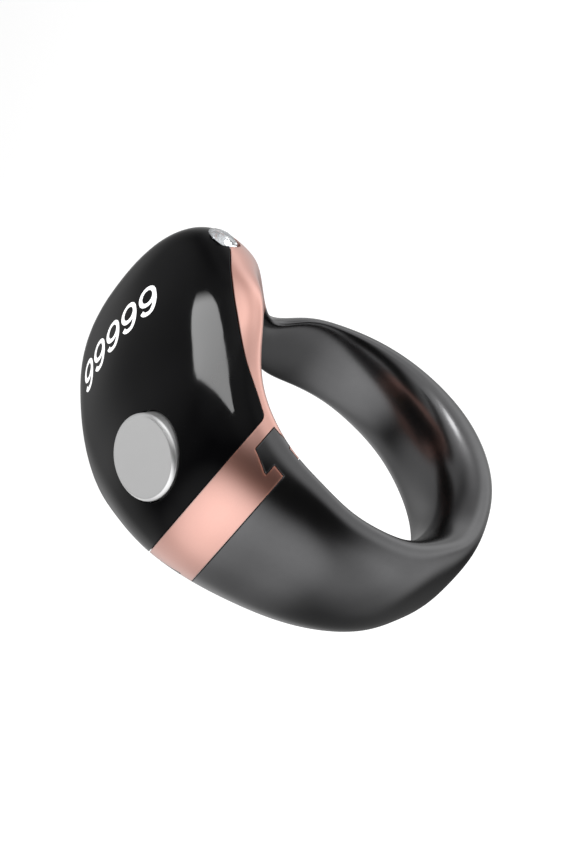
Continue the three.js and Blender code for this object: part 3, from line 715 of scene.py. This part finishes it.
# Each finish: two tones, a roughness range, and a grain of a real size in millimetres.
# Shader values are typical for the real material, then matched to the object.
# grainForm holds what all of them share: a fine grain and a slow drift from one tone to the other.
grainForm = {
    "fine": {"Scale": 1.0, "Detail": 3.0, "Roughness": 0.55},
    "slow": {"Scale": 260.0, "Detail": 2.0},  # waves of about 4 mm
    "fineShare": 0.6,
    "toneRange": {"From Min": 0.55, "From Max": 1.05},
    "roughRange": {"From Min": 0.3, "From Max": 0.7},
    "bevelSamples": 4,
}
finishes = {
    # rose gold plating on a die cast under clear lacquer: pink satin metal, paler where it meets the light
    "roseGoldPlate": {
        "tones": ("#e0927a", "#dc8d75"), "roughness": (0.31, 0.37), "grain": 0.08, "stretch": (1, 6, 1),
        "bump": 0.0006, "shader": {"Metallic": 0.94, "Coat Weight": 1.0, "Coat IOR": 3.0, "Coat Roughness": 0.27},
        "edge": 0.14,
    },
    # tinted acrylic, injection moulded and hard coated: near black, glassy, with slow ripples of the mould
    "smokedAcrylic": {
        "tones": ("#060607", "#09090a"), "roughness": (0.05, 0.08), "grain": 2.5, "stretch": (1, 1, 1),
        "bump": 0.0004, "shader": {"IOR": 1.49, "Specular IOR Level": 0.1}, "edge": 0.08,
    },
    # black nickel plating on a polished casting: dark grey mirror, soft edged reflections
    "blackNickel": {
        "tones": ("#626263", "#666667"), "roughness": (0.2, 0.24), "grain": 0.5, "stretch": (1, 1, 1),
        "bump": 0.0008, "shader": {"Metallic": 1.0}, "edge": 0.08,
    },
    # polycarbonate, spark eroded mould: fine even matt texture that stays dry on the skin
    "sparkedPolycarbonate": {
        "tones": ("#17171a", "#212124"), "roughness": (0.45, 0.6), "grain": 0.12, "stretch": (1, 1, 1),
        "bump": 0.02, "shader": {"IOR": 1.58}, "edge": 0.06,
    },
    # stainless steel, blasted with fine glass bead: even pale grey from every side, a dry soft tooth
    "satinSteel": {
        "tones": ("#d4d4d4", "#d0d0d0"), "roughness": (0.5, 0.56), "grain": 0.06, "stretch": (1, 1, 1),
        "bump": 0.0012, "shader": {"Metallic": 0.45, "Specular IOR Level": 0.3}, "edge": 0.0,
    },
    # the same steel, turned and buffed on its rim and side: bright narrow lights, a fine even grain
    "buffedSteel": {
        "tones": ("#ececec", "#e6e6e6"), "roughness": (0.28, 0.34), "grain": 0.05, "stretch": (1, 1, 1),
        "bump": 0.0006, "shader": {"Metallic": 0.85}, "edge": 0.0,
    },
    # silicone rubber, moulded: dull black with a dusty bloom
    "siliconeRubber": {
        "tones": ("#141414", "#1d1d1d"), "roughness": (0.7, 0.85), "grain": 0.2, "stretch": (1, 1, 1),
        "bump": 0.01, "shader": {"IOR": 1.41, "Sheen Weight": 0.15}, "edge": 0.0,
    },
    # glass filled nylon, moulded: fibres just show as short pale flecks
    "filledNylon": {
        "tones": ("#202022", "#38383a"), "roughness": (0.45, 0.6), "grain": 0.15, "stretch": (1, 5, 1),
        "bump": 0.01, "shader": {"IOR": 1.53}, "edge": 0.0,
    },
    # pressed nickel silver, tumbled: warm dull white metal
    "nickelSilver": {
        "tones": ("#cfcbc0", "#bdb8ab"), "roughness": (0.3, 0.42), "grain": 0.1, "stretch": (4, 1, 1),
        "bump": 0.004, "shader": {"Metallic": 1.0}, "edge": 0.0,
    },
    # polyimide film over rolled copper: amber with darker copper runs
    "polyimideFilm": {
        "tones": ("#c4802f", "#8f5420"), "roughness": (0.25, 0.35), "grain": 0.5, "stretch": (1, 8, 1),
        "bump": 0.004, "shader": {"IOR": 1.7, "Coat Weight": 0.4}, "edge": 0.0,
    },
    # soda lime glass over the dark display layer: black mirror
    "panelGlass": {
        "tones": ("#07080b", "#0c0e13"), "roughness": (0.02, 0.05), "grain": 1.5, "stretch": (1, 1, 1),
        "bump": 0.0004, "shader": {"IOR": 1.52, "Coat Weight": 0.3}, "edge": 0.0,
    },
    # epoxy moulding compound, blasted: flat black with pale filler specks
    "mouldedEpoxy": {
        "tones": ("#131314", "#2b2b2c"), "roughness": (0.5, 0.7), "grain": 0.05, "stretch": (1, 1, 1),
        "bump": 0.008, "shader": {"IOR": 1.55}, "edge": 0.0,
    },
    # drawn steel can, nickel plated: bright grey with draw lines
    "drawnCan": {
        "tones": ("#c8cacd", "#aeb0b3"), "roughness": (0.22, 0.34), "grain": 0.12, "stretch": (1, 1, 10),
        "bump": 0.003, "shader": {"Metallic": 1.0}, "edge": 0.0,
    },
    # polyurethane foam, slit from a block: open cells in warm white
    "openFoam": {
        "tones": ("#ece7da", "#bfb7a3"), "roughness": (0.85, 0.95), "grain": 0.15, "stretch": (1, 1, 1),
        "bump": 0.04, "shader": {"IOR": 1.4, "Sheen Weight": 0.2}, "edge": 0.0,
    },
    # extruded PVC jackets: waxy, with faint die lines along the lead
    "redJacket": {
        "tones": ("#b3262b", "#9d1f25"), "roughness": (0.35, 0.45), "grain": 0.1, "stretch": (1, 8, 1),
        "bump": 0.004, "shader": {"IOR": 1.53}, "edge": 0.0,
    },
    "blackJacket": {
        "tones": ("#1c1c1c", "#262626"), "roughness": (0.35, 0.45), "grain": 0.1, "stretch": (1, 8, 1),
        "bump": 0.004, "shader": {"IOR": 1.53}, "edge": 0.0,
    },
    # zinc plated steel, clear passivated: pale blue grey, slightly cloudy
    "zincScrew": {
        "tones": ("#b9c0c6", "#a3abb3"), "roughness": (0.28, 0.4), "grain": 0.08, "stretch": (1, 1, 1),
        "bump": 0.003, "shader": {"Metallic": 1.0}, "edge": 0.0,
    },
    # hard gold on nickel, electroplated: bright yellow contact face with wipe marks
    "contactGold": {
        "tones": ("#e8c067", "#dcae50"), "roughness": (0.15, 0.28), "grain": 0.1, "stretch": (1, 6, 1),
        "bump": 0.001, "shader": {"Metallic": 1.0}, "edge": 0.0,
    },
    # white lit segments seen through the lens: flat clean white with a faint grain of the display
    "litWhite": {
        "tones": ("#fbfbfb", "#ffffff"), "roughness": (0.35, 0.45), "grain": 0.1, "stretch": (1, 1, 1),
        "bump": 0.0, "shader": {"IOR": 1.45, "Emission Strength": 0.35}, "edge": 0.0,
    },
    # fibreglass board under green solder mask: copper shows as darker tracks
    "solderMask": {
        "tones": ("#1d5a38", "#123d27"), "roughness": (0.25, 0.4), "grain": 0.6, "stretch": (1, 4, 1),
        "bump": 0.01, "shader": {"IOR": 1.55, "Coat Weight": 0.3}, "edge": 0.0,
    },
}


def makeFinish(name, form):
    material = bpy.data.materials.new(name)
    material.use_nodes = True
    tree = material.node_tree
    shader = tree.nodes["Principled BSDF"]
    places = addNode(tree, "ShaderNodeTexCoord")
    size = form["grain"] * mm
    stretched = addNode(tree, "ShaderNodeMapping", values={
        "Scale": [1 / (size * step) for step in form["stretch"]]}, links={"Vector": places.outputs["Object"]})
    grain = addNode(tree, "ShaderNodeTexNoise", values=grainForm["fine"],
                    links={"Vector": stretched.outputs["Vector"]})
    slow = addNode(tree, "ShaderNodeTexNoise", values=grainForm["slow"], links={"Vector": places.outputs["Object"]})
    tones = addNode(tree, "ShaderNodeMix", {"data_type": "RGBA"})
    for socket, tone in zip([s for s in tones.inputs if s.type == "RGBA"], form["tones"]):
        socket.default_value = linearColour(tone)
    mixer = addNode(tree, "ShaderNodeMath", {"operation": "MULTIPLY_ADD"}, links={0: grain.outputs["Fac"]})
    mixer.inputs[1].default_value = grainForm["fineShare"]
    tree.links.new(slow.outputs["Fac"], mixer.inputs[2])
    centred = addNode(tree, "ShaderNodeMapRange", values=grainForm["toneRange"], links={"Value": mixer.outputs[0]})
    tree.links.new(centred.outputs["Result"], tones.inputs[0])
    tree.links.new(next(s for s in tones.outputs if s.type == "RGBA"), shader.inputs["Base Color"])
    low, high = form["roughness"]
    rough = addNode(tree, "ShaderNodeMapRange", values={**grainForm["roughRange"], "To Min": low, "To Max": high},
                    links={"Value": slow.outputs["Fac"]})
    tree.links.new(rough.outputs["Result"], shader.inputs["Roughness"])
    normal = None
    if form["edge"]:  # softens the shading where two faces meet
        rounded = addNode(tree, "ShaderNodeBevel", {"samples": grainForm["bevelSamples"]},
                          {"Radius": form["edge"] * mm})
        normal = rounded.outputs["Normal"]
    if form["bump"]:
        bumped = addNode(tree, "ShaderNodeBump", values={"Distance": form["bump"] * mm},
                         links={"Height": grain.outputs["Fac"]})
        if normal:
            tree.links.new(normal, bumped.inputs["Normal"])
        normal = bumped.outputs["Normal"]
    if normal:
        tree.links.new(normal, shader.inputs["Normal"])
    for socket, value in form["shader"].items():
        shader.inputs[socket].default_value = value
    if "Emission Strength" in form["shader"]:
        shader.inputs["Emission Color"].default_value = linearColour(form["tones"][1])
    return material


finished = {name: makeFinish(name, form) for name, form in finishes.items()}

# crown and girdle: cubic zirconia, polished: clear, strong sparkle, faint wear in its polish
zirconiaForm = {
    "tone": "#f2f5f7",
    "shader": {"IOR": 1.9, "Transmission Weight": 0.75},
    "wear": {"Scale": 3000.0},
    "wearRange": {"To Min": 0.0, "To Max": 0.05},
}
clearZirconia = bpy.data.materials.new("clearZirconia")
clearZirconia.use_nodes = True
clearShader = clearZirconia.node_tree.nodes["Principled BSDF"]
for socket, value in zirconiaForm["shader"].items():
    clearShader.inputs[socket].default_value = value
clearShader.inputs["Base Color"].default_value = linearColour(zirconiaForm["tone"])
clearTree = clearZirconia.node_tree
wear = addNode(clearTree, "ShaderNodeTexNoise", values=zirconiaForm["wear"],
               links={"Vector": addNode(clearTree, "ShaderNodeTexCoord").outputs["Object"]})
wearRange = addNode(clearTree, "ShaderNodeMapRange", values=zirconiaForm["wearRange"],
                    links={"Value": wear.outputs["Fac"]})
clearTree.links.new(wearRange.outputs["Result"], clearShader.inputs["Roughness"])

# pavilion: vacuum silvered foil, as on a set stone: throws the light back through the crown
silverFoil = makeFinish("silverFoil", {
    "tones": ("#f1f2f4", "#dcdee2"), "roughness": (0.03, 0.1), "grain": 0.1, "stretch": (1, 1, 1),
    "bump": 0.0, "shader": {"Metallic": 1.0}, "edge": 0.0})


def dress(piece, material):
    piece.data.materials.clear()
    piece.data.materials.append(material)


dress(coverShell, finished["smokedAcrylic"])
dress(frameBody, finished["roseGoldPlate"])
dress(bandBody, finished["blackNickel"])
dress(lidPlate, finished["sparkedPolycarbonate"])
dress(buttonCap, finished["satinSteel"])
buttonCap.data.materials.append(finished["buffedSteel"])
for face in buttonCap.data.polygons:
    face.material_index = 0 if face.index == buttonTop else 1
dress(countDigits, finished["litWhite"])
dress(cutStone, clearZirconia)
cutStone.data.materials.append(silverFoil)
for index in stoneBack:
    cutStone.data.polygons[index].material_index = 1

nodeFinishes = {
    "cover_gasket": "siliconeRubber", "button_seal": "siliconeRubber", "switch_plunger": "filledNylon",
    "switch_body": "nickelSilver", "switch_board": "solderMask", "switch_ribbon": "polyimideFilm",
    "board_carrier": "filledNylon", "main_board": "solderMask", "display_panel": "panelGlass",
    "display_ribbon": "polyimideFilm", "controller_chip": "mouldedEpoxy", "charger_chip": "mouldedEpoxy",
    "timing_crystal": "drawnCan", "cell": "drawnCan", "cell_pad": "openFoam", "cell_lead_plus": "redJacket",
    "cell_lead_minus": "blackJacket", "board_screw_1": "zincScrew", "board_screw_2": "zincScrew",
    "charging_pin_1": "contactGold", "charging_pin_2": "contactGold",
}
for nodeName, finishName in nodeFinishes.items():
    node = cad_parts[nodeName]
    for slotIndex in range(max(len(node.material_slots), 1)):
        if not node.material_slots:
            node.data.materials.append(finished[finishName])
        node.material_slots[slotIndex].material = finished[finishName]
print("finishes")


# Camera at the photograph's viewing angle

cameraForm = {
    "place": (-0.185696, -0.148472, 0.088721),
    "right": (0.030328, -0.531562, -0.846476),
    "up": (0.677255, -0.611909, 0.408526),
    "back": (-0.735123, -0.58567, 0.341445),
    "lens": 142.127,
    "sensor": 36,
    "clip": (0.01, 50),
}
cameraData = bpy.data.cameras.new("photoCamera")
camera = bpy.data.objects.new("photoCamera", cameraData)
bpy.context.collection.objects.link(camera)
cameraData.sensor_fit = "VERTICAL"
cameraData.sensor_height = cameraForm["sensor"]
cameraData.sensor_width = cameraForm["sensor"]
cameraData.lens = cameraForm["lens"]
cameraData.clip_start, cameraData.clip_end = cameraForm["clip"]
turned = Matrix([cameraForm["right"], cameraForm["up"], cameraForm["back"]]).transposed()
camera.matrix_world = Matrix.Translation(cameraForm["place"]) @ turned.to_4x4()
scene = bpy.context.scene
scene.camera = camera
scene.view_settings.view_transform = "Standard"


# Studio: pale surround, a floor well under the ring, and soft boxes

studioForm = {
    "floor": {"height": -0.05, "size": 3, "paint": "#f4f4f4", "roughness": 0.9, "glow": 0.35},
    "surround": 0.6,  # what a matt surface sees
    "dim": 0.03,  # what a gloss sees where no pale wall or box stands
    "lobes": [  # direction, angle where it is full, angle where it ends, level
        ((0.24, -0.77, 0.59), 9, 24, 0.6),  # row of lamps over the near side
        ((0.08, -0.76, 0.65), 22, 48, 0.43),
        ((0.17, -0.92, 0.36), 22, 48, 0.21),
        ((-0.16, -0.94, 0.30), 14, 34, 0.20),
        ((0.81, -0.55, 0.21), 14, 34, 0.38),
        ((-0.88, 0.40, 0.25), 22, 48, 0.7),  # lit wall past the button
        ((-0.87, 0.26, 0.42), 14, 34, 0.34),
        ((-0.97, 0.21, 0.14), 14, 34, 0.20),
        ((-0.84, 0.53, 0.07), 22, 48, 0.24),
        ((-0.43, 0.90, 0.11), 14, 34, 0.20),
        ((-0.22, 0.95, 0.22), 14, 34, 0.13),
        ((-0.09, 0.99, 0.05), 14, 34, 0.14),
        ((-0.04, 0.91, -0.41), 22, 48, 0.12),
        ((0.34, 0.93, -0.16), 9, 24, 0.35),
        ((0.45, 0.89, 0.09), 22, 48, 0.23),
        ((0.37, -0.79, -0.49), 22, 48, 0.81),  # pale floor round the ring
        ((-0.12, -0.21, -0.97), 22, 48, 0.53),
        ((-0.46, 0.04, -0.89), 22, 48, 0.44),
        ((-0.78, 0.14, -0.60), 14, 34, 0.28),
        ((0.87, -0.19, -0.46), 22, 48, 0.32),
        ((0.95, -0.08, -0.29), 22, 48, 0.32),
        ((0.49, 0.42, 0.76), 22, 48, 0.32),  # dim ceiling
        ((0.19, 0.06, 0.98), 22, 48, 0.22),
    ],
    "lamp": {"direction": (0.059, -0.364, 0.929), "distance": 0.3, "size": (0.107, 0.295), "roll": -1.0,
             "radiance": 6.0},
    "rimLamp": {"direction": (0.26, -0.80, 0.54), "distance": 0.3, "size": (0.05, 0.07), "radiance": 8.0},
    "strip": {  # long diffuser over the near side, its corners in millimetres on its own plane
        "direction": (0.237, -0.199, 0.951), "across": (0.97, 0, -0.242), "distance": 300, "level": 28.5,
        "fade": (66, 30),  # its upper end dims softly
        "corners": [(66, -9), (58, 26), (28, 45), (6, 54), (0, 56), (-19, 45), (-38, 29), (-94, -54),
                    (-156, -163), (-222, -292), (-218, -336), (-155, -275), (-106, -203), (-77, -149),
                    (-39, -92), (-5, -62), (24, -50), (47, -32)],
    },
}

world = bpy.data.worlds.new("studioSurround")
scene.world = world
world.use_nodes = True
worldTree = world.node_tree
background = worldTree.nodes["Background"]
background.inputs["Color"].default_value = (1, 1, 1, 1)
path = addNode(worldTree, "ShaderNodeLightPath")
looking = addNode(worldTree, "ShaderNodeTexCoord")


def addLobe(direction, full, end):
    # one in the middle of the lobe, falling softly to nothing at its end
    unit = Vector(direction).normalized()
    along = addNode(worldTree, "ShaderNodeVectorMath", {"operation": "DOT_PRODUCT"},
                    links={0: looking.outputs["Generated"]})
    along.inputs[1].default_value = unit
    return addNode(worldTree, "ShaderNodeMapRange", {"interpolation_type": "SMOOTHSTEP"}, {
        "From Min": math.cos(math.radians(end)), "From Max": math.cos(math.radians(full))},
        {"Value": along.outputs["Value"]}).outputs["Result"]


glossLevel = None
for direction, full, end, strength in studioForm["lobes"]:
    added = addNode(worldTree, "ShaderNodeMath", {"operation": "MULTIPLY_ADD"},
                    links={0: addLobe(direction, full, end)})
    added.inputs[1].default_value = strength
    added.inputs[2].default_value = studioForm["dim"]
    if glossLevel:
        worldTree.links.new(glossLevel, added.inputs[2])
    glossLevel = added.outputs[0]
glossOrSurround = addNode(worldTree, "ShaderNodeMix", {"data_type": "FLOAT"},
                          {"A": studioForm["surround"]}, {"Factor": path.outputs["Is Glossy Ray"], "B": glossLevel})
clearOrNot = addNode(worldTree, "ShaderNodeMath", {"operation": "MAXIMUM"}, links={
    0: path.outputs["Is Camera Ray"], 1: path.outputs["Is Transmission Ray"]})
level = addNode(worldTree, "ShaderNodeMix", {"data_type": "FLOAT"}, {"B": 1.0},
                {"Factor": clearOrNot.outputs[0], "A": glossOrSurround.outputs[0]})
worldTree.links.new(level.outputs[0], background.inputs["Strength"])

deselectAll()
floorForm = studioForm["floor"]
bpy.ops.mesh.primitive_plane_add(size=floorForm["size"], location=(0, 0, floorForm["height"]))
floor = nameLast("paleFloor")
floorPaint = bpy.data.materials.new("palePaper")
floorPaint.use_nodes = True
floorTree = floorPaint.node_tree
floorShader = floorTree.nodes["Principled BSDF"]
floorShader.inputs["Base Color"].default_value = linearColour(floorForm["paint"])
floorShader.inputs["Roughness"].default_value = floorForm["roughness"]
floorPath = addNode(floorTree, "ShaderNodeLightPath")
floorSeen = addNode(floorTree, "ShaderNodeMath", {"operation": "MULTIPLY"},
                    links={0: floorPath.outputs["Is Camera Ray"]})
floorSeen.inputs[1].default_value = floorForm["glow"]  # brings the seen paper up to white
floorShader.inputs["Emission Color"].default_value = (1, 1, 1, 1)
floorTree.links.new(floorSeen.outputs[0], floorShader.inputs["Emission Strength"])
dress(floor, floorPaint)
floor.visible_glossy = False  # the surround's lobes already hold what a gloss sees below


def addSoftBox(name, form):
    lamp = bpy.data.lights.new(name, "AREA")
    lamp.shape = "RECTANGLE"
    lamp.size, lamp.size_y = form["size"]
    lamp.energy = form["radiance"] * math.pi * lamp.size * lamp.size_y
    box = bpy.data.objects.new(name, lamp)
    bpy.context.collection.objects.link(box)
    towards = Vector(form["direction"]).normalized()
    spin = towards.to_track_quat("Z", "Y")
    box.matrix_world = (Matrix.Translation(towards * form["distance"]) @ spin.to_matrix().to_4x4()
                        @ Matrix.Rotation(form.get("roll", 0), 4, "Z"))
    return box


softLamp = addSoftBox("softLamp", studioForm["lamp"])
softLamp.visible_glossy = False
softLamp.visible_camera = False
rimLamp = addSoftBox("rimLamp", studioForm["rimLamp"])  # streak along the rim of the band
rimLamp.visible_camera = False

strip = studioForm["strip"]
stripOut = Vector(strip["direction"]).normalized()
stripAcross = Vector(strip["across"]).normalized()
stripUp = stripOut.cross(stripAcross)
deselectAll()
bpy.ops.mesh.primitive_circle_add(vertices=len(strip["corners"]), radius=0.1, fill_type="NGON")
stripLight = nameLast("stripLight")
setPlaces(stripLight, [stripOut * strip["distance"] + stripAcross * a + stripUp * b for a, b in strip["corners"]])
glow = bpy.data.materials.new("litDiffuser")
glow.use_nodes = True
glowShader = glow.node_tree.nodes["Principled BSDF"]
glowShader.inputs["Base Color"].default_value = (0, 0, 0, 1)
glowShader.inputs["Emission Color"].default_value = (1, 1, 1, 1)
glowPlace = addNode(glow.node_tree, "ShaderNodeTexCoord")
glowAlong = addNode(glow.node_tree, "ShaderNodeVectorMath", {"operation": "DOT_PRODUCT"},
                    links={0: glowPlace.outputs["Object"]})
glowAlong.inputs[1].default_value = stripAcross
glowFade = addNode(glow.node_tree, "ShaderNodeMapRange", {"interpolation_type": "SMOOTHSTEP"}, {
    "From Min": strip["fade"][0] * mm, "From Max": strip["fade"][1] * mm, "To Max": strip["level"]},
    {"Value": glowAlong.outputs["Value"]})
glow.node_tree.links.new(glowFade.outputs["Result"], glowShader.inputs["Emission Strength"])
dress(stripLight, glow)
for seen in ("camera", "diffuse", "transmission", "volume_scatter", "shadow"):
    setattr(stripLight, "visible_" + seen, False)
lensOnly = bpy.data.collections.new("lensOnly")  # this light reaches nothing but the lens
lensOnly.objects.link(coverShell)
stripLight.light_linking.receiver_collection = lensOnly
bandOnly = bpy.data.collections.new("bandOnly")  # and the rim lamp nothing but the band
bandOnly.objects.link(bandBody)
rimLamp.light_linking.receiver_collection = bandOnly
print("studio")
